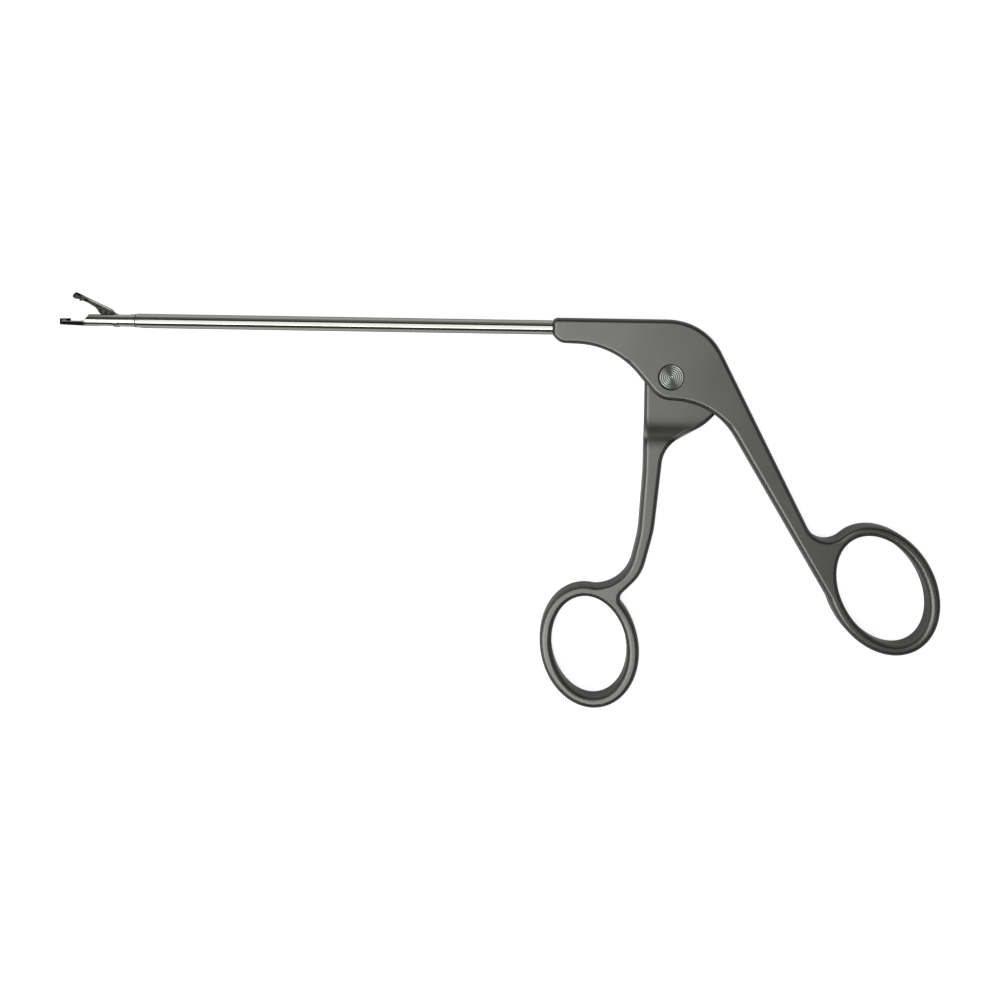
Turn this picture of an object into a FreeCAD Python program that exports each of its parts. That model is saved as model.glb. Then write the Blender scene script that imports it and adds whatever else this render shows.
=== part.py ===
import FreeCAD, Part

import math
import os

# Arthroscopic suture cutter lying on its side, in millimetres.
# X runs along the shaft and the jaws point to -X, Y is up in the plane of the handle,
# Z is the thickness. The origin is on the shaft axis, where the shaft leaves the handle nose.
# A corner of an outline is (x, y, radius of its rounding), where needed as reach from an anchor.

# Shaft
working_length = 130.0
shaft_radius = 1.9
shaft_bore = 1.3
jaw_length = 20.2
spigot_radius = 1.7
spigot_length = 12.0
running_gap = 0.1
muzzle_bevel_length = 1.8
muzzle_bevel_depth = 0.25

# Handle plates
body_thickness = 6.6
edge_round = 1.2
tongue_thickness = 2.7
slot_width = 2.9
body_top = 2.6
nose_bottom = -4.0
nose_top_round = 1.4
nose_bottom_round = 3.4
nose_chin_run = 2.0
nose_chin_rise = 2.1
nose_chin_round = 1.4

# Pivot of the lever
pivot_x = 31.2
pivot_y = -12.5
pivot_head_radius = 3.4
pivot_head_height = 0.95
pivot_head_gap = 0.08
pivot_sleeve_radius = 2.0
pivot_fit_gap = 0.05
pivot_thread_radius = 1.1
thread_end_wall = 1.0
screw_head_radius = 2.6
screw_slot_width = 0.7
screw_slot_depth = 0.5
screw_reach = 3.6

# Finger rings, each an ellipse for the hole and one for the outside
rear_ring_centre = (87.83, -67.65)
rear_ring_angle = -58.5
rear_ring_outer = (18.1, 13.9)
rear_ring_hole = (15.3, 10.85)
front_ring_centre = (11.0, -83.5)
front_ring_angle = -77.0
front_ring_outer = (16.3, 12.9)
front_ring_hole = (13.3, 9.8)

# Handle outline: reaches from the pivot, then from the rear ring's centre
shoulder_reach = (9.0, 15.8)
crotch_corner = (11.8, -6.2, 20.0)
belly_corner = (-2.6, -6.1, 6.6)
throat_corner = (-14.9, 8.1, 22.0)
arm_back_end = (-12.65, 1.75)
arm_inner_end = (-10.7, -8.2)
rear_junction = (-15.2, 6.6)
rear_junction_round = 6.0

# Lever outline: reaches from the pivot, then from the front ring's centre
tongue_reach = 6.65
tongue_corner_round = 3.0
tongue_neck = (-1.9, 6.5, 2.0)
tongue_back = (6.0, 3.0, 2.0)
lobe_radius = 15.55
lobe_first_angle = -18.0
lobe_last_angle = -62.7
lobe_gap = 0.3
crotch_run = 9.75
crotch_round = 8.0
arm_straight_end = -24.5
arm_bend_back = (16.45, 30.6, 30.0)
arm_bend_front = (12.5, 30.0, 30.0)
arm_foot_back = (13.45, 19.0, 12.0)
arm_foot_front = (9.2, 16.0, 10.0)
arm_root_back = (6.4, 12.2)
arm_root_low = (-1.3, 11.7)
arm_root_high = (-1.3, 15.8)
front_junction = (7.1, 12.8)
front_junction_round = 2.2
cove_start = -9.8
cove_radius = 11.5
crown_radius = 5.0

# Fixed jaw, with distances measured back from its tip
jaw_radius = 1.72
jaw_nose_round = 1.1
tip_round = 0.25
hook_length = 2.0
hook_top = 0.4
hook_lean = 0.05
hook_round = 0.1
trough_top = -0.22
trough_round = 0.15
tip_bottom = -1.25
tip_bottom_round = 0.3
ear_foot = 7.0
ear_foot_round = 2.2
ear_crest = 7.75
ear_crest_height = 1.9
ear_crest_round = 0.8
belly_reach = 9.4
belly_bottom = -1.62
belly_round = 1.0
waist_reach = 11.4
waist_bottom = -1.45
waist_round = 0.8
ear_slot_width = 1.4
ear_slot_start = 6.0
ear_slot_end_wall = 1.6

# Jaw hinge and drive
jaw_opening = 25.0
hinge_reach = 14.9
hinge_y = -1.0
hinge_pin_radius = 0.35
hinge_boss_radius = 0.85
drive_arm = 1.95
drive_pin_radius = 0.3
pin_gap = 0.03
slot_play = 0.06
tang_width = 1.26
tang_slit_width = 0.52
tang_slit_reach = 1.6
tang_reach = 5.9

# Rod tip: its tongue's outline as reaches from the drive pin's eye
rod_tip_thickness = 0.44
tip_eye_radius = 0.58
tip_eye_back = (0.45, 0.48, 0.3)
tip_eye_front = (-0.3, 0.48, 0.3)
tip_eye_low = (-0.3, -0.4, 0.3)
tip_tongue_top = 0.6
tip_tongue_bottom = -0.45
tip_tongue_root = 0.6
tip_tongue_rise = 1.3
neck_reach = 0.5

# Upper jaw when closed, with distances measured back from the fixed jaw's tip
upper_jaw_width = 2.5
upper_jaw_top = 2.0
upper_jaw_setback = 1.35
front_lean = 0.2
front_height = 0.75
lip_run = 0.45
lip_height = 0.45
lip_round = 0.1
shoulder_setback = 6.35
shoulder_cove = 2.5
notch_setback = 3.05
notch_height = 0.45
notch_radius = 0.5
tooth_setback = 3.65
tooth_point = 0.42
tooth_root = 0.95
tooth_run = 0.35
blade_end_setback = 8.0
blade_end_height = 0.62
blade_end_round = 2.0
tail_wall = 0.47

# Rear of the upper jaw when closed: reaches from the jaw hinge
back_run = 3.4
back_round = 2.0
tail_run = 1.9
tail_run_round = 1.5
tail_end_round = 0.5
tail_heel = (0.55, 1.3, 0.6)
tail_root = (0.75, -0.3, 0.7)
eye_bottom = (-0.1, -0.76, 0.6)
eye_front = (-1.1, -0.55, 0.8)
blade_underside = (-5.5, 0.8, 1.2)

# Rod and clevis
rod_neck_radius = 0.8
neck_bore_radius = 0.9
jaw_spigot_length = 6.0
neck_overlap = 1.5
clevis_length = 8.6
clevis_radius = 1.5
clevis_width = 2.6
clevis_socket = 4.0
clevis_pin_radius = 0.8
clevis_gap_width = 1.4
clevis_gap_floor = 2.7
lever_tang_width = 1.24
tang_shoulder_gap = 1.1
dowel_radius = 0.35
dowel_setback = 2.0
channel_height = 3.5
channel_clearance = 0.4

# Overshoot of cutting bodies past the faces that they cut
past = 1.0

half_body = body_thickness / 2
half_slot = slot_width / 2
half_tongue = tongue_thickness / 2
rod_radius = shaft_bore - running_gap
tip_x = -working_length
tube_front = tip_x + jaw_length
hinge_x = tip_x + hinge_reach
half_opening = math.radians(jaw_opening / 2)
stroke = 2 * drive_arm * math.sin(half_opening)
clevis_x = pivot_x + stroke / 2
clevis_front = clevis_x - clevis_length
lever_front_x = pivot_x - tongue_reach
shoulder_y = -clevis_radius - tang_shoulder_gap
neck_end = tube_front + jaw_spigot_length + neck_overlap
pivot = (pivot_x, pivot_y)

OUT = FreeCAD.Vector(0, 0, 1)
ALONG = FreeCAD.Vector(1, 0, 0)
UP = FreeCAD.Vector(0, 1, 0)


def point(x, y, z=0.0):
    return FreeCAD.Vector(x, y, z)


def corner(anchor, reach):
    """Outline corner at a reach from an anchor, sharp where the reach gives no radius."""
    radius = reach[2] if len(reach) == 3 else 0.0
    return (anchor[0] + reach[0], anchor[1] + reach[1], radius)


def rounded_outline(corners):
    """Closed wire of straight runs and arcs through outline corners."""
    count = len(corners)
    spots = [point(x, y) for x, y, radius in corners]
    ends = []
    for index in range(count):
        here = spots[index]
        to_last = (spots[index - 1] - here).normalize()
        to_next = (spots[(index + 1) % count] - here).normalize()
        radius = corners[index][2]
        if radius == 0:
            ends.append((here, here, here))
            continue
        half_angle = to_last.getAngle(to_next) / 2
        reach = radius / math.tan(half_angle)
        inward = (to_last + to_next).normalize()
        middle = here + inward * (radius / math.sin(half_angle) - radius)
        ends.append((here + to_last * reach, middle, here + to_next * reach))
    edges = []
    for index in range(count):
        start, middle, end = ends[index]
        if not start.isEqual(end, 1e-6):
            edges.append(Part.Arc(start, middle, end).toShape())
        following = ends[(index + 1) % count][0]
        if not end.isEqual(following, 1e-6):
            edges.append(Part.LineSegment(end, following).toShape())
    return Part.Wire(edges)


def slab(corners, low, high):
    """Plate with the given rounded outline between two heights."""
    face = Part.Face(rounded_outline(corners))
    face.translate(point(0, 0, low))
    return face.extrude(point(0, 0, high - low))


def plate(corners, thickness):
    """Slab lying evenly about the middle plane."""
    return slab(corners, -thickness / 2, thickness / 2)


def disc(radius, centre, low, high):
    """Upright cylinder."""
    return Part.makeCylinder(radius, high - low, point(centre[0], centre[1], low), OUT)


def cross_pin(radius, centre, length):
    """Upright cylinder lying evenly about the middle plane."""
    return disc(radius, centre, -length / 2, length / 2)


def bar(radius, start_x, end_x):
    """Round bar on the shaft axis."""
    return Part.makeCylinder(radius, end_x - start_x, point(start_x, 0), ALONG)


def block(start_x, end_x, low_y, high_y, thickness):
    """Box lying evenly about the middle plane."""
    corner_point = point(start_x, low_y, -thickness / 2)
    return Part.makeBox(end_x - start_x, high_y - low_y, thickness, corner_point)


def side_blocks(start_x, end_x, low_y, high_y, inner, outer):
    """Two boxes, one each side of the middle plane, between two widths."""
    full = block(start_x, end_x, low_y, high_y, outer)
    return full.cut(block(start_x - past, end_x + past, low_y - past, high_y + past, inner))


def ellipse_plate(half_axes, centre, angle):
    """Elliptical cylinder through the handle's thickness, its long axis turned from X."""
    edge = Part.Ellipse(point(0, 0), half_axes[0], half_axes[1]).toShape()
    solid = Part.Face(Part.Wire([edge])).extrude(point(0, 0, body_thickness))
    solid.rotate(point(0, 0), OUT, angle)
    solid.translate(point(centre[0], centre[1], -half_body))
    return solid


def slot_hole(radius, centre, direction, play, length):
    """Hole that lets a pin of nearly this radius slip along direction by play."""
    side = point(*direction).normalize() * play
    hole = cross_pin(radius, centre, length)
    for sign in (-1, 1):
        moved = cross_pin(radius, centre, length)
        moved.translate(side * sign)
        hole = hole.fuse(moved)
    return hole


def nearest_upright_edge(shape, spot):
    """Full-height edge closest to a spot in plan."""
    upright = [edge for edge in shape.Edges if edge.BoundBox.ZLength > 0.9 * body_thickness]

    def distance(edge):
        middle = edge.CenterOfMass
        return math.hypot(middle.x - spot[0], middle.y - spot[1])

    return min(upright, key=distance)


def plate_with_ring(corners, outer, hole, centre, angle, junction, junction_round):
    """Full-thickness plate and ring in one, blended where the arm runs into the ring."""
    ring = ellipse_plate(outer, centre, angle)
    blank = plate(corners, body_thickness).fuse(ring).removeSplitter()
    blank = blank.makeFillet(junction_round, [nearest_upright_edge(blank, junction)])
    return blank.cut(ellipse_plate(hole, centre, angle))


def rim_edges(shape, lowest, top_y):
    """Edges round the two sides of a plate, at least a height off its middle, below top_y."""
    found = []
    for edge in shape.Edges:
        span = edge.BoundBox
        one_side = span.ZMin > lowest - 1e-4 or span.ZMax < 1e-4 - lowest
        across = span.YLength < 1e-3 and span.ZLength < 1e-3 and lowest < half_body
        if one_side and not across and edge.CenterOfMass.y < top_y:
            found.append(edge)
    return found


def make_handle_body():
    """Fixed handle: nose, slotted body, long arm and thumb ring in one piece."""
    corners = [
        (0.0, body_top, nose_top_round),
        (pivot_x + shoulder_reach[0], body_top, shoulder_reach[1]),
        corner(rear_ring_centre, arm_back_end),
        corner(rear_ring_centre, arm_inner_end),
        corner(pivot, crotch_corner),
        corner(pivot, belly_corner),
        corner(pivot, throat_corner),
        (nose_chin_run, nose_bottom, nose_bottom_round),
        (0.0, nose_bottom + nose_chin_rise, nose_chin_round),
    ]
    junction = corner(rear_ring_centre, rear_junction)
    body = plate_with_ring(corners, rear_ring_outer, rear_ring_hole, rear_ring_centre,
                           rear_ring_angle, junction, rear_junction_round)
    body = body.makeFillet(edge_round, rim_edges(body, half_body, body_top + past))

    sweep_radius = lobe_radius + lobe_gap
    pocket_left = lever_front_x - lobe_gap
    pocket_right = clevis_x + 2 * clevis_radius
    pocket_bottom = pivot_y - sweep_radius
    pocket_corners = [
        (pocket_left, shoulder_y + clevis_radius, 0),
        (pocket_right, shoulder_y + clevis_radius, 0),
        (pivot_x + sweep_radius, pivot_y - lobe_gap, 0),
        (pivot_x + sweep_radius, pocket_bottom, 0),
        (pocket_left, pocket_bottom, 0),
    ]
    pocket = plate(pocket_corners, slot_width)
    pocket = pocket.common(cross_pin(sweep_radius, pivot, slot_width))
    channel_start = clevis_front - stroke - channel_clearance
    channel = block(channel_start, clevis_x + clevis_radius + channel_clearance + stroke / 2,
                    -channel_height / 2, channel_height / 2, slot_width)
    body = body.cut(pocket.fuse(channel))
    body = body.cut(bar(spigot_radius, -past, spigot_length))
    body = body.cut(bar(shaft_bore, 0.0, channel_start + past))

    seat = half_body - pivot_head_height
    body = body.cut(cross_pin(pivot_sleeve_radius, pivot, body_thickness))
    body = body.cut(disc(pivot_head_radius + pivot_head_gap, pivot, seat, half_body + past))
    return body.cut(disc(screw_head_radius, pivot, -half_body - past, -seat))


def lobe_corners():
    """Outline corners of the lobe: its edge's end, its arc about the pivot, and the crotch."""
    first = math.radians(lobe_first_angle)
    last = math.radians(lobe_last_angle)
    middle = (first + last) / 2
    far = lobe_radius / math.cos((first - last) / 2)
    end_x = pivot_x + lobe_radius * math.cos(first) - past * math.sin(first)
    end_y = pivot_y + lobe_radius * math.sin(first) + past * math.cos(first)
    arc = (pivot_x + far * math.cos(middle), pivot_y + far * math.sin(middle), lobe_radius)
    crotch_x = pivot_x + lobe_radius * math.cos(last) + crotch_run * math.sin(last)
    crotch_y = pivot_y + lobe_radius * math.sin(last) - crotch_run * math.cos(last)
    return [(end_x, end_y, 0), arc, (crotch_x, crotch_y, crotch_round)]


def tongue_relief(side):
    """Stock milled off one side of the lever, from the thin tongue up a cove to full thickness."""
    rise = half_body - half_tongue
    turn = math.acos(1 - rise / (cove_radius + crown_radius))
    start_y = pivot_y + cove_start
    end_y = start_y - (cove_radius + crown_radius) * math.sin(turn)
    left = lever_front_x - lobe_radius

    def spot(y, height):
        return point(left, y, side * height)

    def on_cove(angle):
        return spot(start_y - cove_radius * math.sin(angle),
                    half_tongue + cove_radius * (1 - math.cos(angle)))

    def on_crown(angle):
        return spot(end_y + crown_radius * math.sin(angle),
                    half_body - crown_radius * (1 - math.cos(angle)))

    cove = Part.Arc(on_cove(0), on_cove(turn / 2), on_cove(turn)).toShape()
    crown = Part.Arc(on_crown(turn), on_crown(turn / 2), on_crown(0)).toShape()
    rim = Part.makePolygon([on_crown(0), spot(end_y, half_body + past),
                            spot(clevis_radius, half_body + past),
                            spot(clevis_radius, half_tongue), on_cove(0)])
    profile = Part.Face(Part.Wire([cove, crown] + rim.Edges))
    return profile.extrude(point(4 * lobe_radius, 0))


def make_finger_lever():
    """Finger lever: ring and arm at full thickness, cove, thin lobe and tongue, drive tang."""
    tang_top = (clevis_x, 0.0)
    corners = [
        (lever_front_x, pivot_y, tongue_corner_round),
        corner(pivot, tongue_neck),
        (clevis_x - clevis_radius, shoulder_y, 0),
        (clevis_x + clevis_radius, shoulder_y, 0),
        corner(pivot, tongue_back),
        *lobe_corners(),
        corner(front_ring_centre, arm_bend_back),
        corner(front_ring_centre, arm_foot_back),
        corner(front_ring_centre, arm_root_back),
        corner(front_ring_centre, arm_root_low),
        corner(front_ring_centre, arm_root_high),
        corner(front_ring_centre, arm_foot_front),
        corner(front_ring_centre, arm_bend_front),
        (lever_front_x, pivot_y + arm_straight_end, 2 * arm_bend_front[2]),
    ]
    junction = corner(front_ring_centre, front_junction)
    lever = plate_with_ring(corners, front_ring_outer, front_ring_hole, front_ring_centre,
                            front_ring_angle, junction, front_junction_round)
    for side in (-1, 1):
        lever = lever.cut(tongue_relief(side))
    lever = lever.makeFillet(edge_round, rim_edges(lever, half_tongue, pivot_y))

    tang = block(clevis_x - clevis_radius, clevis_x + clevis_radius, shoulder_y - past, 0.0,
                 lever_tang_width)
    tang = tang.fuse(cross_pin(clevis_radius, tang_top, lever_tang_width))
    lever = lever.fuse(tang)
    pin_path = (tang_top[0] - pivot_x, tang_top[1] - pivot_y, 0)
    lever = lever.cut(slot_hole(clevis_pin_radius + pin_gap, tang_top, pin_path, slot_play,
                                body_thickness))
    return lever.cut(cross_pin(pivot_sleeve_radius + pivot_fit_gap, pivot, body_thickness))


def make_pivot_pin():
    """Axle of the lever: flush disc head with a threaded sleeve."""
    seat = half_body - pivot_head_height
    head = disc(pivot_head_radius, pivot, seat, half_body)
    sleeve = disc(pivot_sleeve_radius, pivot, -seat, seat)
    return head.fuse(sleeve).cut(disc(pivot_thread_radius, pivot, -seat, seat - thread_end_wall))


def make_pivot_screw():
    """Flush slotted screw that closes the sleeve from the far side."""
    seat = -half_body + pivot_head_height
    head = disc(screw_head_radius, pivot, -half_body, seat)
    stem = disc(pivot_thread_radius, pivot, seat, seat + screw_reach)
    slot = Part.makeBox(2 * screw_head_radius + 2 * past, screw_slot_width,
                        screw_slot_depth + past,
                        point(pivot_x - screw_head_radius - past,
                              pivot_y - screw_slot_width / 2, -half_body - past))
    return head.fuse(stem).cut(slot)


def make_outer_tube():
    """Shaft tube, turned down where it enters the nose and ground off under its front end."""
    tube = bar(shaft_radius, tube_front, 0.0).fuse(bar(spigot_radius, 0.0, spigot_length))
    tube = tube.cut(bar(shaft_bore, tube_front, spigot_length))
    slope = muzzle_bevel_depth / muzzle_bevel_length
    bevel_corners = [
        (tube_front - past, muzzle_bevel_depth + past * slope - shaft_radius, 0),
        (tube_front + muzzle_bevel_length, -shaft_radius, 0),
        (tube_front + muzzle_bevel_length, -2 * shaft_radius, 0),
        (tube_front - past, -2 * shaft_radius, 0),
    ]
    return tube.cut(plate(bevel_corners, 4 * shaft_radius))


def make_fixed_jaw():
    """Lower jaw: hook block, thin trough, two ears and the spigot that plugs the tube."""
    tube_bottom = muzzle_bevel_depth - shaft_radius
    side_view = [
        (tip_x, hook_top, tip_round),
        (tip_x + hook_length, hook_top, hook_round),
        (tip_x + hook_length + hook_lean, trough_top, trough_round),
        (tip_x + ear_foot, trough_top, ear_foot_round),
        (tip_x + ear_crest, ear_crest_height, ear_crest_round),
        (tube_front, ear_crest_height, 0),
        (tube_front, tube_bottom, 0),
        (tip_x + waist_reach, waist_bottom, waist_round),
        (tip_x + belly_reach, belly_bottom, belly_round),
        (tip_x, tip_bottom, tip_bottom_round),
    ]
    plan = [
        (tip_x, jaw_radius, jaw_nose_round),
        (tip_x, -jaw_radius, jaw_nose_round),
        (tube_front, -jaw_radius, 0),
        (tube_front, jaw_radius, 0),
    ]
    depth = 4 * shaft_radius
    plan_block = plate(plan, depth)
    plan_block.rotate(point(0, 0), ALONG, 90)
    stock = bar(jaw_radius, tip_x, tube_front)
    jaw = stock.common(plate(side_view, depth)).common(plan_block)
    hinge = (hinge_x, hinge_y)
    boss = cross_pin(hinge_boss_radius, hinge, depth).common(bar(shaft_radius, tip_x, tube_front))
    jaw = jaw.fuse(boss)
    slot_end = tube_front - ear_slot_end_wall
    slot_start = tip_x + ear_slot_start
    jaw = jaw.cut(block(slot_start, slot_end, trough_top, depth, ear_slot_width))
    jaw = jaw.cut(block(hinge_x - tang_reach, slot_end, -depth, depth, ear_slot_width))
    spigot_end = tube_front + jaw_spigot_length
    jaw = jaw.fuse(bar(shaft_bore, tube_front, spigot_end))
    jaw = jaw.cut(bar(neck_bore_radius, slot_end - past, spigot_end))
    return jaw.cut(cross_pin(hinge_pin_radius, hinge, depth)).removeSplitter()


def drive_pin_place(angle):
    """Place of the drive pin when its arm leans by angle from upright, towards +X."""
    return (hinge_x + drive_arm * math.sin(angle), hinge_y + drive_arm * math.cos(angle))


def make_upper_jaw():
    """Cutting jaw: wide front with notch and tooth, narrow rear between the ears, forked tail."""
    nose_x = tip_x + upper_jaw_setback
    tail_top = hinge_y + drive_arm + tail_wall
    notch_x = tip_x + notch_setback
    hinge = (hinge_x, hinge_y)
    side_view = [
        (nose_x + front_lean, upper_jaw_top, front_lean),
        (hinge_x - back_run, upper_jaw_top, back_round),
        (hinge_x - tail_run, tail_top, tail_run_round),
        (hinge_x, tail_top, tail_end_round),
        corner(hinge, tail_heel),
        corner(hinge, tail_root),
        corner(hinge, eye_bottom),
        corner(hinge, eye_front),
        corner(hinge, blade_underside),
        (tip_x + blade_end_setback, blade_end_height, blade_end_round),
        (tip_x + tooth_setback + tooth_run, tooth_root, lip_round),
        (tip_x + tooth_setback, tooth_point, 0),
        (nose_x + lip_run, lip_height, lip_round),
        (nose_x, front_height, lip_round),
    ]
    tail_end = hinge_x + 5 * hinge_boss_radius
    jaw = plate(side_view, upper_jaw_width)
    jaw = jaw.common(bar(upper_jaw_top, nose_x - past, tail_end))
    jaw = jaw.cut(cross_pin(notch_radius, (notch_x, notch_height), upper_jaw_width))
    depth = 2 * upper_jaw_top
    shoulder_x = tip_x + shoulder_setback
    jaw = jaw.cut(side_blocks(shoulder_x, tail_end, -depth, depth, tang_width, upper_jaw_width))
    for side in (-1, 1):
        cove_centre = point(shoulder_x, -depth, side * (tang_width / 2 + shoulder_cove))
        jaw = jaw.cut(Part.makeCylinder(shoulder_cove, 2 * depth, cove_centre, UP))
    jaw = jaw.cut(block(hinge_x - tang_slit_reach, tail_end, -depth, depth, tang_slit_width))
    jaw = jaw.cut(cross_pin(hinge_pin_radius + pin_gap, hinge, depth))
    jaw = jaw.cut(cross_pin(drive_pin_radius, drive_pin_place(-half_opening), depth))
    jaw.rotate(point(hinge_x, hinge_y), OUT, -jaw_opening)
    return jaw


def make_jaw_hinge_pin():
    """Pin across both ears, dressed flush with them."""
    pin = cross_pin(hinge_pin_radius, (hinge_x, hinge_y), 4 * shaft_radius)
    return pin.common(bar(jaw_radius, hinge_x - past, hinge_x + past))


def make_drive_pin():
    """Pin across the forked tail of the upper jaw."""
    return cross_pin(drive_pin_radius, drive_pin_place(half_opening), tang_width)


def make_rod_tip():
    """Flat tongue with the upright slot, on the neck that passes the jaw's bore."""
    eye = drive_pin_place(half_opening)
    neck_front = tube_front - neck_reach
    root_x = neck_front + tip_tongue_root
    corners = [
        (root_x, tip_tongue_top, 0),
        (neck_front - tip_tongue_rise, tip_tongue_top, tip_eye_radius),
        corner(eye, tip_eye_back),
        corner(eye, tip_eye_front),
        corner(eye, tip_eye_low),
        (eye[0] + tip_eye_radius, tip_tongue_bottom, tip_eye_low[2]),
        (root_x, tip_tongue_bottom, 0),
    ]
    tongue = plate(corners, rod_tip_thickness)
    tongue = tongue.fuse(cross_pin(tip_eye_radius, eye, rod_tip_thickness))
    tip = tongue.fuse(bar(rod_neck_radius, neck_front, neck_end))
    return tip.cut(slot_hole(drive_pin_radius + pin_gap, eye, (0, 1, 0), slot_play,
                             rod_tip_thickness))


def make_push_rod():
    """Plain rod from the tip's neck to the clevis socket."""
    rear = clevis_front + clevis_socket
    hole = cross_pin(dowel_radius, (rear - dowel_setback, 0), 4 * rod_radius)
    return bar(rod_radius, neck_end, rear).cut(hole)


def make_rod_clevis():
    """Fork that carries the clevis pin, socketed and doweled on the rod."""
    flank = clevis_x + 2 * clevis_radius
    fork = bar(clevis_radius, clevis_front, clevis_x + clevis_radius)
    fork = fork.common(block(clevis_front, flank, -clevis_radius, clevis_radius, clevis_width))
    square_end = block(clevis_x, flank, -2 * clevis_radius, 2 * clevis_radius, 2 * clevis_width)
    fork = fork.cut(square_end.cut(cross_pin(clevis_radius, (clevis_x, 0), 2 * clevis_width)))
    fork = fork.cut(block(clevis_x - clevis_gap_floor, flank, -2 * clevis_radius,
                          2 * clevis_radius, clevis_gap_width))
    socket_end = clevis_front + clevis_socket
    fork = fork.cut(bar(rod_radius, clevis_front, socket_end))
    fork = fork.cut(cross_pin(dowel_radius, (socket_end - dowel_setback, 0), clevis_width))
    return fork.cut(cross_pin(clevis_pin_radius, (clevis_x, 0), clevis_width))


def make_clevis_dowel():
    """Cross dowel through clevis and rod."""
    place = clevis_front + clevis_socket - dowel_setback
    return cross_pin(dowel_radius, (place, 0), clevis_width)


def make_clevis_pin():
    """Pin that the lever's upper end pushes."""
    return cross_pin(clevis_pin_radius, (clevis_x, 0), clevis_width)


pieces = {
    "handle_body": make_handle_body,
    "finger_lever": make_finger_lever,
    "pivot_pin": make_pivot_pin,
    "pivot_screw": make_pivot_screw,
    "outer_tube": make_outer_tube,
    "fixed_jaw": make_fixed_jaw,
    "upper_jaw": make_upper_jaw,
    "jaw_hinge_pin": make_jaw_hinge_pin,
    "drive_pin": make_drive_pin,
    "rod_tip": make_rod_tip,
    "push_rod": make_push_rod,
    "rod_clevis": make_rod_clevis,
    "clevis_dowel": make_clevis_dowel,
    "clevis_pin": make_clevis_pin,
}

os.makedirs("parts", exist_ok=True)
for name, make in pieces.items():
    shape = make()
    solids = shape.Solids
    if len(solids) != 1 or not shape.isValid():
        print("check", name, "solids", len(solids), "valid", shape.isValid())
    shape.exportStep("parts/" + name + ".step")
print("stroke", round(stroke, 4), "lever degrees",
      round(math.degrees(2 * math.atan(stroke / 2 / -pivot_y)), 3))
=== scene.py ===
from math import cos, pi, radians, sin

import bmesh
import bpy
from mathutils import Matrix, Vector


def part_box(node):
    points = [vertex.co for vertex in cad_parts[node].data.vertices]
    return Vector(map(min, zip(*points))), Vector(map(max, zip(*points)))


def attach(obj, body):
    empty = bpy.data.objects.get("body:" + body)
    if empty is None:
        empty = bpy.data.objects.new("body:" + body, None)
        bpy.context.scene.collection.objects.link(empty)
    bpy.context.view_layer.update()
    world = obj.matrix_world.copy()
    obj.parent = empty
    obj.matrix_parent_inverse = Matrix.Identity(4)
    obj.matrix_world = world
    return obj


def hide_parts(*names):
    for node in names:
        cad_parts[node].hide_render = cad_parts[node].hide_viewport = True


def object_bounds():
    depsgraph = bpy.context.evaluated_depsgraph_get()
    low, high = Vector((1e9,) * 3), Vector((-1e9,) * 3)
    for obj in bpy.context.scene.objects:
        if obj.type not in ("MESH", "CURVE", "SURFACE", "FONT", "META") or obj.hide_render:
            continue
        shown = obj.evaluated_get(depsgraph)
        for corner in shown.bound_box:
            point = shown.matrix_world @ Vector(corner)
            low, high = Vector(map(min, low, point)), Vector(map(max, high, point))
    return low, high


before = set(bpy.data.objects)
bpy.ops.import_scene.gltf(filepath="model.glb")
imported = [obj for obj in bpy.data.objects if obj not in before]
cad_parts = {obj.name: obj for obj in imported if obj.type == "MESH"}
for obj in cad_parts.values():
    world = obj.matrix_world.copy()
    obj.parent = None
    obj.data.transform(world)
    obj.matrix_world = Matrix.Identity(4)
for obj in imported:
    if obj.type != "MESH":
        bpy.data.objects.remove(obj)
cad_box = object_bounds()
millimetre = 0.001

# Handle body: the fixed half of the handle with the nose, the long arm and the rear ring.
# Milled from stainless bar, its edges rounded over, then bead blasted all over to a dull
# grey that doesn't dazzle under a theatre lamp.


def linear(hex_colour):
    """An sRGB hex colour as linear RGBA."""
    values = []
    for place in (1, 3, 5):
        part = int(hex_colour[place:place + 2], 16) / 255
        values.append(part / 12.92 if part <= 0.04045 else ((part + 0.055) / 1.055) ** 2.4)
    return (*values, 1.0)


def add_node(tree, kind, inputs=None, **settings):
    """Adds a node with its settings, and sets or links its inputs by name or number."""
    node = tree.nodes.new(kind)
    for name, value in settings.items():
        setattr(node, name, value)
    for socket, value in (inputs or {}).items():
        if isinstance(value, bpy.types.NodeSocket):
            tree.links.new(value, node.inputs[socket])
        else:
            node.inputs[socket].default_value = value
    return node


def metal(name, colour, roughness, edge_tint):
    """The material of a bare metal of one colour, over which a finish may be linked."""
    material = bpy.data.materials.new(name)
    material.use_nodes = True
    shader = material.node_tree.nodes["Principled BSDF"]
    shader.inputs["Base Color"].default_value = colour
    shader.inputs["Metallic"].default_value = 1.0
    shader.inputs["Roughness"].default_value = roughness
    shader.inputs["Specular Tint"].default_value = edge_tint
    return material


def dress(node, material):
    """Gives a piece of the frame its material."""
    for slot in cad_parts[node].material_slots:
        slot.material = material


# A colour mix has its two colours and its result under these numbers.
mix_from, mix_to, mix_out = 6, 7, 2

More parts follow.
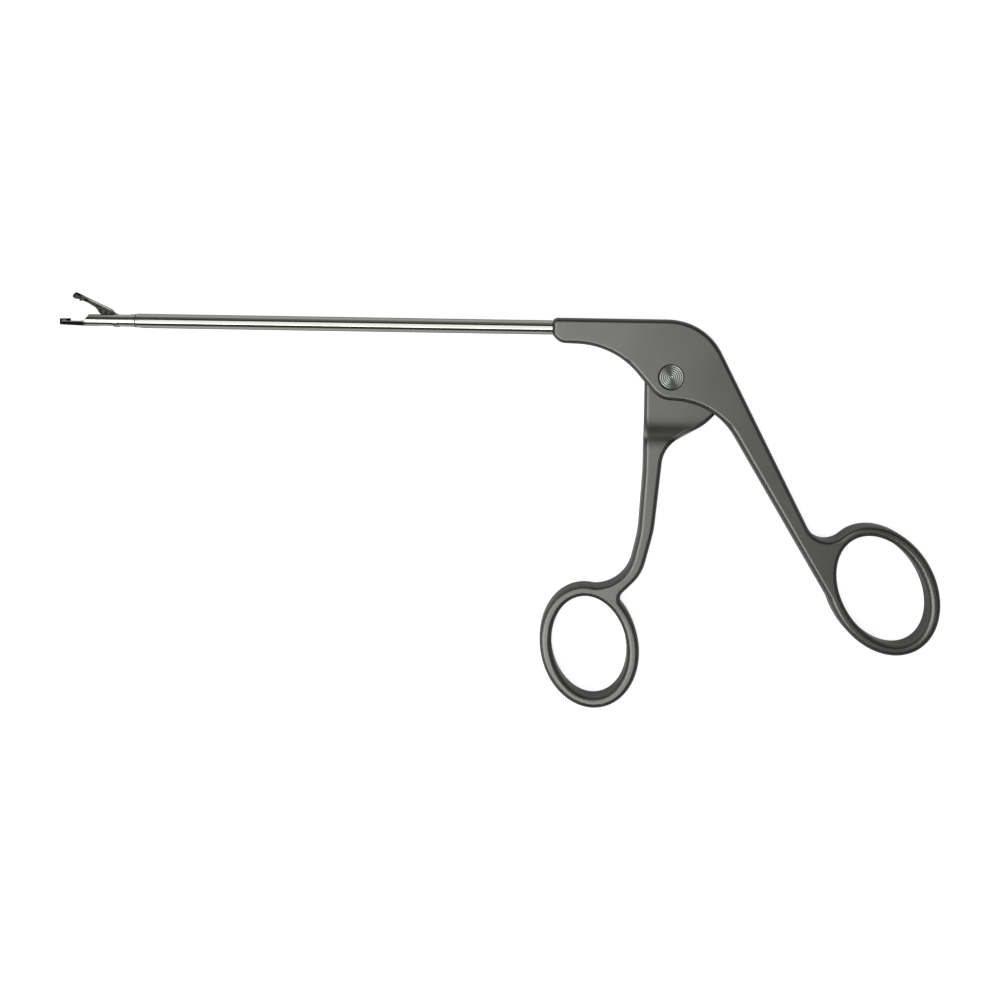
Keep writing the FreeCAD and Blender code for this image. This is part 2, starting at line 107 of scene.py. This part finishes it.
# Bead blasted stainless: even, fine grained and grey, with soft highlights along the edges.
# The grain of 0.1 mm beads is drawn 0.25 mm coarse, so that it shows at this distance. The
# passes of the nozzle leave faint clouds, about 12 mm wide.
blast_light = linear("#565754")
blast_dark = linear("#4c4d4b")
blast_edge = linear("#b0b0b0")
blast_roughness = 0.32
grain_size = 0.25 * millimetre
grain_detail = 2.0
grain_depth = 0.02 * millimetre
grain_strength = 0.06
cloud_size = 12 * millimetre
cloud_detail = 3.0
blasted = metal("bead_blasted_stainless", blast_light, blast_roughness, blast_edge)
tree = blasted.node_tree
shader = tree.nodes["Principled BSDF"]
place = add_node(tree, "ShaderNodeTexCoord").outputs["Object"]
grain = add_node(tree, "ShaderNodeTexNoise",
                 {"Vector": place, "Scale": 1 / grain_size, "Detail": grain_detail})
cloud = add_node(tree, "ShaderNodeTexNoise",
                 {"Vector": place, "Scale": 1 / cloud_size, "Detail": cloud_detail})
tone = add_node(tree, "ShaderNodeMix",
                {"Factor": cloud.outputs["Fac"], mix_from: blast_dark, mix_to: blast_light},
                data_type="RGBA")
tree.links.new(tone.outputs[mix_out], shader.inputs["Base Color"])
bump = add_node(tree, "ShaderNodeBump",
                {"Height": grain.outputs["Fac"], "Strength": grain_strength,
                 "Distance": grain_depth})
tree.links.new(bump.outputs["Normal"], shader.inputs["Normal"])
dress("handle_body", blasted)

# Finger lever: the moving half of the handle, from the front ring up to the tongue that
# turns about the pivot. The same bar and blasting as the handle body. The cove under the
# tongue has a painted highlight, and the band where it runs out below has a painted shade,
# for the light that the curve of the cove catches and loses.
cove_painted_highlight = linear("#7e807b")
runout_painted_shade = linear("#3a3b38")
cove_top = -25.5 * millimetre
cove_middle = -28.0 * millimetre
crown_top = -27.8 * millimetre
crown_middle = -29.1 * millimetre
crown_end = -31.8 * millimetre
lever_metal = blasted.copy()
lever_metal.name = "bead_blasted_lever_painted_cove"
tree = lever_metal.node_tree
base_colour = tree.nodes["Principled BSDF"].inputs["Base Color"]
plain = base_colour.links[0].from_socket
place = add_node(tree, "ShaderNodeTexCoord").outputs["Object"]
height = add_node(tree, "ShaderNodeSeparateXYZ", {0: place}).outputs["Y"]
# Painted highlight on the cove, then painted shade where it runs out, then the plain blast.
tone = plain
for start, end, colour in ((cove_top, cove_middle, cove_painted_highlight),
                           (crown_top, crown_middle, runout_painted_shade),
                           (crown_middle, crown_end, plain)):
    fade = add_node(tree, "ShaderNodeMapRange",
                    {"Value": height, "From Min": start, "From Max": end},
                    interpolation_type="SMOOTHSTEP")
    tone = add_node(tree, "ShaderNodeMix",
                    {"Factor": fade.outputs[0], mix_from: tone, mix_to: colour},
                    data_type="RGBA").outputs[mix_out]
tree.links.new(tone, base_colour)
dress("finger_lever", lever_metal)

# Pivot: a headed sleeve from one side and a slotted screw from the other, both flush.
# Turned from stainless bar on a lathe, whose tool leaves fine rings round the centre.

# Turned stainless: bright between the rings, so the head glints in a fan to each side.
turned_colour = linear("#626461")
turned_edge = linear("#7a7a7a")
turned_roughness = 0.24
turned = metal("turned_stainless", turned_colour, turned_roughness, turned_edge)
dress("pivot_screw", turned)


def lathe_tree():
    """Geometry Nodes that turn a profile of points (radius, 0, height) about Z."""
    tree = bpy.data.node_groups.new("lathe", "GeometryNodeTree")
    for name, kind in (("Profile", "Geometry"), ("Facets", "Int"), ("Weld", "Float"),
                       ("Finish", "Material")):
        tree.interface.new_socket(name, in_out="INPUT", socket_type="NodeSocket" + kind)
    tree.interface.new_socket("Turned", in_out="OUTPUT", socket_type="NodeSocketGeometry")
    given = add_node(tree, "NodeGroupInput").outputs
    count = add_node(tree, "GeometryNodeAttributeDomainSize",
                     {0: given["Profile"]}).outputs["Point Count"]
    rows = add_node(tree, "ShaderNodeMath", {0: count, 1: 1.0},
                    operation="SUBTRACT").outputs[0]
    columns = add_node(tree, "ShaderNodeMath", {0: given["Facets"], 1: 1.0},
                       operation="ADD").outputs[0]
    grid = add_node(tree, "GeometryNodeMeshGrid",
                    {"Size X": 2 * pi, "Size Y": rows, "Vertices X": columns,
                     "Vertices Y": count})
    spot = add_node(tree, "GeometryNodeInputPosition").outputs[0]
    parts = add_node(tree, "ShaderNodeSeparateXYZ", {0: spot})
    row = add_node(tree, "ShaderNodeMath", {0: rows, 1: 0.5, 2: parts.outputs["Y"]},
                   operation="MULTIPLY_ADD")
    row = add_node(tree, "ShaderNodeMath", {0: row.outputs[0]}, operation="ROUND")
    profile = add_node(tree, "GeometryNodeSampleIndex",
                       {"Geometry": given["Profile"], "Index": row.outputs[0]},
                       data_type="FLOAT_VECTOR")
    tree.links.new(spot, profile.inputs["Value"])
    turn = add_node(tree, "ShaderNodeVectorRotate",
                    {"Vector": profile.outputs[0], "Angle": parts.outputs["X"]},
                    rotation_type="Z_AXIS")
    moved = add_node(tree, "GeometryNodeSetPosition",
                     {"Geometry": grid.outputs["Mesh"], "Position": turn.outputs[0]})
    merged = add_node(tree, "GeometryNodeMergeByDistance",
                      {"Geometry": moved.outputs[0], "Distance": given["Weld"]})
    real = add_node(tree, "GeometryNodeRealizeInstances", {0: merged.outputs[0]})
    done = add_node(tree, "GeometryNodeSetMaterial",
                    {"Geometry": real.outputs[0], "Material": given["Finish"]})
    add_node(tree, "NodeGroupOutput", {"Turned": done.outputs[0]})
    return tree


lathe = lathe_tree()
facets_around = 96
weld_distance = 0.0001 * millimetre
crease = radians(30)


def add_object(name, data):
    """Puts a mesh, a lamp or a camera in the scene."""
    item = bpy.data.objects.new(name, data)
    bpy.context.scene.collection.objects.link(item)
    return item


def turned_piece(name, profile, finish, place):
    """A closed piece turned from its profile in millimetres, put in its place."""
    line = bpy.data.meshes.new(name + "_profile")
    spots = [(radius * millimetre, 0.0, height * millimetre) for radius, height in profile]
    line.from_pydata(spots, [(index, index + 1) for index in range(len(spots) - 1)], [])
    blank = add_object(name + "_profile", line)
    modifier = blank.modifiers.new("lathe", "NODES")
    modifier.node_group = lathe
    given = {"Facets": facets_around, "Weld": weld_distance, "Finish": finish}
    for socket in lathe.interface.items_tree:
        if socket.name in given:
            modifier[socket.identifier] = given[socket.name]
    evaluated = blank.evaluated_get(bpy.context.evaluated_depsgraph_get())
    mesh = bpy.data.meshes.new_from_object(evaluated)
    bpy.data.objects.remove(blank)
    mesh.name = name
    skin = bmesh.new()
    skin.from_mesh(mesh)
    bmesh.ops.recalc_face_normals(skin, faces=skin.faces)
    skin.to_mesh(mesh)
    skin.free()
    mesh.transform(place)
    mesh.shade_smooth()
    mesh.set_sharp_from_angle(angle=crease)
    return add_object(name, mesh)


# The sleeve with its head, in millimetres. The tool's feed of about 0.1 mm is drawn 0.5 mm
# coarse, so that the rings show.
pin_low, pin_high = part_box("pivot_pin")
pin_top = pin_high.z / millimetre
head_radius = (pin_high.x - pin_low.x) / 2 / millimetre
head_height = 0.95
sleeve_radius = 2.0
thread_radius = 1.1
thread_end_wall = 1.0
rim_bevel = 0.22
ring_feed = 0.5
ring_depth = 0.074
seat = pin_top - head_height
face_radius = head_radius - rim_bevel
slope_count = 2 * round(face_radius / ring_feed)
pin_profile = []
for step in range(slope_count + 1):
    pin_profile.append((face_radius * step / slope_count, pin_top - ring_depth * (step % 2)))
pin_profile += [(head_radius, pin_top - rim_bevel), (head_radius, seat), (sleeve_radius, seat),
                (sleeve_radius, -seat), (thread_radius, -seat),
                (thread_radius, seat - thread_end_wall), (0.0, seat - thread_end_wall)]
pin_axis = (pin_low + pin_high) / 2
pivot_pin = turned_piece("turned_pivot_pin", pin_profile, turned,
                         Matrix.Translation((pin_axis.x, pin_axis.y, 0.0)))
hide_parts("pivot_pin")
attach(pivot_pin, "handle")

# Outer tube: the shaft, a drawn stainless tube soldered into the nose of the handle.
# Polished along its length, so it mirrors the lamps in long clean bands.
tube_colour = linear("#8d8e88")
tube_edge = linear("#7a7a7a")
tube_roughness = 0.1
polished = metal("polished_stainless_tube", tube_colour, tube_roughness, tube_edge)
dress("outer_tube", polished)

# Fixed jaw: the hooked lower jaw with its two ears, plugged into the tube's end and welded.
# The ears and their hinge pin are polished as bright as the tube. The hook in front of them
# is coloured darker.
dark_hook_colour = linear("#2a2b29")
hardened_roughness = 0.14
hook_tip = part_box("fixed_jaw")[0].x
hook_length = 7.6 * millimetre
hook_fade = 1.6 * millimetre
ear_start = hook_tip + hook_length
fixed = metal("hardened_polished_stainless", dark_hook_colour, hardened_roughness, tube_edge)
tree = fixed.node_tree
shader = tree.nodes["Principled BSDF"]
place = add_node(tree, "ShaderNodeTexCoord").outputs["Object"]
lengthwise = add_node(tree, "ShaderNodeSeparateXYZ", {0: place}).outputs["X"]
behind = add_node(tree, "ShaderNodeMapRange",
                  {"Value": lengthwise, "From Min": ear_start - hook_fade,
                   "From Max": ear_start}, interpolation_type="SMOOTHSTEP")
tone = add_node(tree, "ShaderNodeMix",
                {"Factor": behind.outputs[0], mix_from: dark_hook_colour, mix_to: tube_colour},
                data_type="RGBA")
tree.links.new(tone.outputs[mix_out], shader.inputs["Base Color"])
for node in ("fixed_jaw", "jaw_hinge_pin"):
    dress(node, fixed)

# Weld seam: the thin bead round the jaw's barrel where it leaves the tube, in millimetres.
# It is run by laser once the jaw is plugged in, and the heat leaves it dull and dark.
seam_colour = linear("#4c4c48")
seam_roughness = 0.4
seam = metal("laser_weld_oxide", seam_colour, seam_roughness, seam_colour)
barrel_radius = 1.72
seam_width = 0.35
seam_rise = 0.06
seam_sink = 0.1
seam_profile = [(barrel_radius - seam_sink, 0.0), (barrel_radius + seam_rise, 0.0),
                (barrel_radius + seam_rise / 2, seam_width),
                (barrel_radius - seam_sink, seam_width), (barrel_radius - seam_sink, 0.0)]
tube_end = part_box("outer_tube")[0].x
weld = turned_piece("jaw_weld_seam", seam_profile, seam,
                    Matrix.Translation((tube_end, 0.0, 0.0)) @ Matrix.Rotation(-pi / 2, 4, "Y"))
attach(weld, "handle")

# Upper jaw: the notched cutting jaw that closes on the hook, seen open by 25 degrees.
# Hardened tool steel, ground and left with a dark, slightly mottled skin. The lighter band
# along its back behind the dark tip is a painted highlight, for the light that its rounded
# back reflects. The mottle's spots are about 0.7 mm wide.
skin_dark = linear("#121312")
skin_light = linear("#2e2f2c")
skin_edge = linear("#96968f")
skin_roughness = 0.38
mottle_size = 0.7 * millimetre
mottle_detail = 3.0
mottle_low = 0.35
mottle_high = 0.65
back_painted_highlight = linear("#7c7d78")
back_lean = radians(25)
back_band = 0.55 * millimetre
dark_tip = 1.2 * millimetre
tip_fade = 2.0 * millimetre
hardened = metal("hardened_tool_steel_painted_highlight", skin_dark, skin_roughness, skin_edge)
tree = hardened.node_tree
shader = tree.nodes["Principled BSDF"]
place = add_node(tree, "ShaderNodeTexCoord").outputs["Object"]
mottle = add_node(tree, "ShaderNodeTexNoise",
                  {"Vector": place, "Scale": 1 / mottle_size, "Detail": mottle_detail})
mottle = add_node(tree, "ShaderNodeMapRange",
                  {"Value": mottle.outputs["Fac"], "From Min": mottle_low,
                   "From Max": mottle_high})
tone = add_node(tree, "ShaderNodeMix",
                {"Factor": mottle.outputs[0], mix_from: skin_dark, mix_to: skin_light},
                data_type="RGBA")
towards_back = Vector((sin(back_lean), cos(back_lean), 0.0))
towards_tube = Vector((cos(back_lean), -sin(back_lean), 0.0))
jaw_corners = [corner.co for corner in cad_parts["upper_jaw"].data.vertices]
back_end = max(corner.dot(towards_back) for corner in jaw_corners)
tip_end = min(corner.dot(towards_tube) for corner in jaw_corners)
# Mask of the painted highlight: a band along the back, faded out near the dark tip.
back_highlight_mask = 1.0
for direction, start, end in (
        (towards_back, back_end - back_band, back_end),
        (towards_tube, tip_end + dark_tip, tip_end + dark_tip + tip_fade)):
    distance = add_node(tree, "ShaderNodeVectorMath", {0: place, 1: direction},
                        operation="DOT_PRODUCT")
    fade = add_node(tree, "ShaderNodeMapRange",
                    {"Value": distance.outputs["Value"], "From Min": start, "From Max": end},
                    interpolation_type="SMOOTHSTEP")
    back_highlight_mask = add_node(tree, "ShaderNodeMath", {0: back_highlight_mask, 1: fade.outputs[0]},
                      operation="MULTIPLY").outputs[0]
tone = add_node(tree, "ShaderNodeMix",
                {"Factor": back_highlight_mask, mix_from: tone.outputs[mix_out], mix_to: back_painted_highlight},
                data_type="RGBA")
tree.links.new(tone.outputs[mix_out], shader.inputs["Base Color"])
dress("upper_jaw", hardened)

# Drive: the rod inside the tube with its tip, its clevis, and their pins and dowel.
# Drawn stainless, pale and with the soft shine that it has from the die.
drawn_colour = linear("#b0b0ab")
drawn_roughness = 0.25
drawn = metal("drawn_stainless_rod", drawn_colour, drawn_roughness, tube_edge)
for node in ("drive_pin", "rod_tip", "push_rod", "rod_clevis", "clevis_dowel", "clevis_pin"):
    dress(node, drawn)

# Table: the instrument lies on its flat side on a plain white sheet that glows a little,
# so that it is white to the camera and in the metal, and still takes a faint shadow.
table_reach = 3.0
table_top = cad_box[0].z
table_colour = linear("#9c9c9c")
table_roughness = 0.9
table_glow = 0.84
white = (1.0, 1.0, 1.0, 1.0)
table_corners = [(-table_reach, -table_reach, table_top), (table_reach, -table_reach, table_top),
                 (table_reach, table_reach, table_top), (-table_reach, table_reach, table_top)]
table_mesh = bpy.data.meshes.new("table")
table_mesh.from_pydata(table_corners, [], [(0, 1, 2, 3)])
table = add_object("table", table_mesh)
sheet = bpy.data.materials.new("white_sheet")
sheet.use_nodes = True
tree = sheet.node_tree
shader = tree.nodes["Principled BSDF"]
shader.inputs["Base Color"].default_value = table_colour
shader.inputs["Roughness"].default_value = table_roughness
shader.inputs["Specular IOR Level"].default_value = 0.0
shader.inputs["Emission Color"].default_value = white
path = add_node(tree, "ShaderNodeLightPath")
seen = path.outputs["Is Camera Ray"]
for ray in ("Is Glossy Ray", "Is Transmission Ray"):
    seen = add_node(tree, "ShaderNodeMath", {0: seen, 1: path.outputs[ray]},
                    operation="MAXIMUM").outputs[0]
glow = add_node(tree, "ShaderNodeMath", {0: seen, 1: table_glow}, operation="MULTIPLY")
tree.links.new(glow.outputs[0], shader.inputs["Emission Strength"])
table_mesh.materials.append(sheet)

# Lamps: level softboxes 0.7 m above the shaft. A large one hangs over it, with a narrow,
# brighter strip in front and another on the left, and a weak fill hangs on the right.
# Each has its middle and size in metres, and its brightness as a multiple of white.
lamp_height = 0.7
lamps = {"softbox": ((-0.11, -0.04), (0.46, 0.58), 3.05),
         "front_strip": ((-0.11, -0.39), (0.46, 0.12), 9.0),
         "left_strip": ((-0.49, -0.2), (0.3, 0.6), 6.5),
         "right_fill": ((0.45, -0.15), (0.6, 0.6), 0.5)}
for name, (middle, size, brightness) in lamps.items():
    lamp = bpy.data.lights.new(name, "AREA")
    lamp.shape = "RECTANGLE"
    lamp.size, lamp.size_y = size
    lamp.energy = brightness * pi * size[0] * size[1]
    add_object(name, lamp).location = (*middle, lamp_height)

# Studio: pale walls round the table, dark above them, a little lighter behind the shaft
# and on the left, which keeps the flats grey when they are looked at from the side.
# Each fade is the part of the heading along its axis where one level turns into the next.
ceiling_level = (0.1, 0.1, 0.1, 1.0)
back_level = (0.38, 0.38, 0.38, 1.0)
left_level = (0.7, 0.7, 0.7, 1.0)
back_fade = (0.65, 0.8)
left_fade = (-0.45, -0.7)
wall_fade = (0.35, 0.2)
world = bpy.data.worlds.new("studio")
bpy.context.scene.world = world
world.use_nodes = True
tree = world.node_tree
heading = add_node(tree, "ShaderNodeTexCoord").outputs["Generated"]
parts = add_node(tree, "ShaderNodeSeparateXYZ", {0: heading})
level = ceiling_level
for axis, (start, end), colour in (("Y", back_fade, back_level), ("X", left_fade, left_level),
                                   ("Z", wall_fade, white)):
    fade = add_node(tree, "ShaderNodeMapRange",
                    {"Value": parts.outputs[axis], "From Min": start, "From Max": end},
                    interpolation_type="SMOOTHSTEP")
    level = add_node(tree, "ShaderNodeMix",
                     {"Factor": fade.outputs[0], mix_from: level, mix_to: colour},
                     data_type="RGBA").outputs[mix_out]
tree.links.new(level, tree.nodes["Background"].inputs["Color"])

# Camera: straight above the instrument, at the photograph's height and turned with it. It
# stands over a pixel nearer the picture's middle than the photograph's, so it shifts less.
# The shaft leaves the nose of the handle at nose_pixel, where a pixel covers 0.2644 mm.
pixel = 0.2644 * millimetre
picture_size = 1000
picture_middle = (499.5, 499.5)
nose_pixel = (552, 327)
camera_pixel = (534, 300)
camera_height = 340 * millimetre
camera_turn = radians(0.92)
sensor_width = 36.0
right = Vector((cos(camera_turn), sin(camera_turn), 0.0))
up = Vector((-sin(camera_turn), cos(camera_turn), 0.0))
lens = bpy.data.cameras.new("camera")
lens.sensor_width = sensor_width
lens.lens = sensor_width * camera_height / (pixel * picture_size)
lens.shift_x = (picture_middle[0] - camera_pixel[0]) / picture_size
lens.shift_y = (camera_pixel[1] - picture_middle[1]) / picture_size
camera = add_object("camera", lens)
camera.location = (right * (camera_pixel[0] - nose_pixel[0])
                   - up * (camera_pixel[1] - nose_pixel[1])) * pixel
camera.location.z = camera_height
camera.rotation_euler = (0.0, 0.0, camera_turn)
bpy.context.scene.camera = camera
bpy.context.scene.view_settings.view_transform = "Standard"
